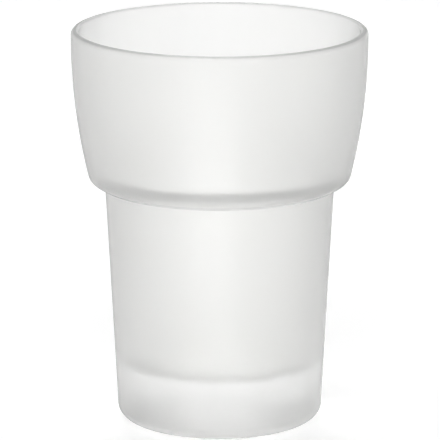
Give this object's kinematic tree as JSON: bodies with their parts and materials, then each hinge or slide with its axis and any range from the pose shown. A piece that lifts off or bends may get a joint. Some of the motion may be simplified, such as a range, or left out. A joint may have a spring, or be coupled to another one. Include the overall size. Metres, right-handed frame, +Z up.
{
  "type": "bathroom tumbler",
  "caption": "Stepped tumbler of satin-frosted glass, with a wide curved bowl, a rounded shoulder that hangs in a holder's ring, a tapered body and a thick solid base.",
  "frame": {"origin": "centre of the foot, on the plane that the tumbler stands on", "axes": "+Z up the axis of the glass, from the foot to the open mouth; the part is the same all round, so X and Y are free"},
  "size_m": [0.0744, 0.0744, 0.1],
  "materials": {
    "frosted_glass": "satin frosted, etched inside and out"
  },
  "bodies": {
    "root": {"tumbler_glass": "frosted_glass"}
  },
  "joints": []
}
